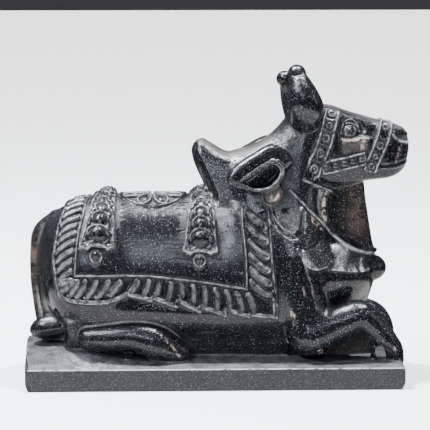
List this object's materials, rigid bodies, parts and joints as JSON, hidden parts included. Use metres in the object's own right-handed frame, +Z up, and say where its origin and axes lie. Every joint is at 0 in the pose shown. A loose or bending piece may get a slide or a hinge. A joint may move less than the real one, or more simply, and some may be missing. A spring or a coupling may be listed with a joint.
{
  "type": "nandi bull figure",
  "caption": "Couchant bull with saddle cloth, bridle, bell straps and stud necklace, carved with its low plinth from one block of polished black stone.",
  "frame": {"origin": "middle of the plinth's underside, between the ends of its straight long edges", "axes": "+X from the tail towards the muzzle, +Z up; the side seen in the picture faces -Y"},
  "size_m": [0.3115, 0.126, 0.256],
  "materials": {
    "black_stone": "polished"
  },
  "bodies": {
    "root": {"nandi_bull": "black_stone"}
  },
  "joints": []
}
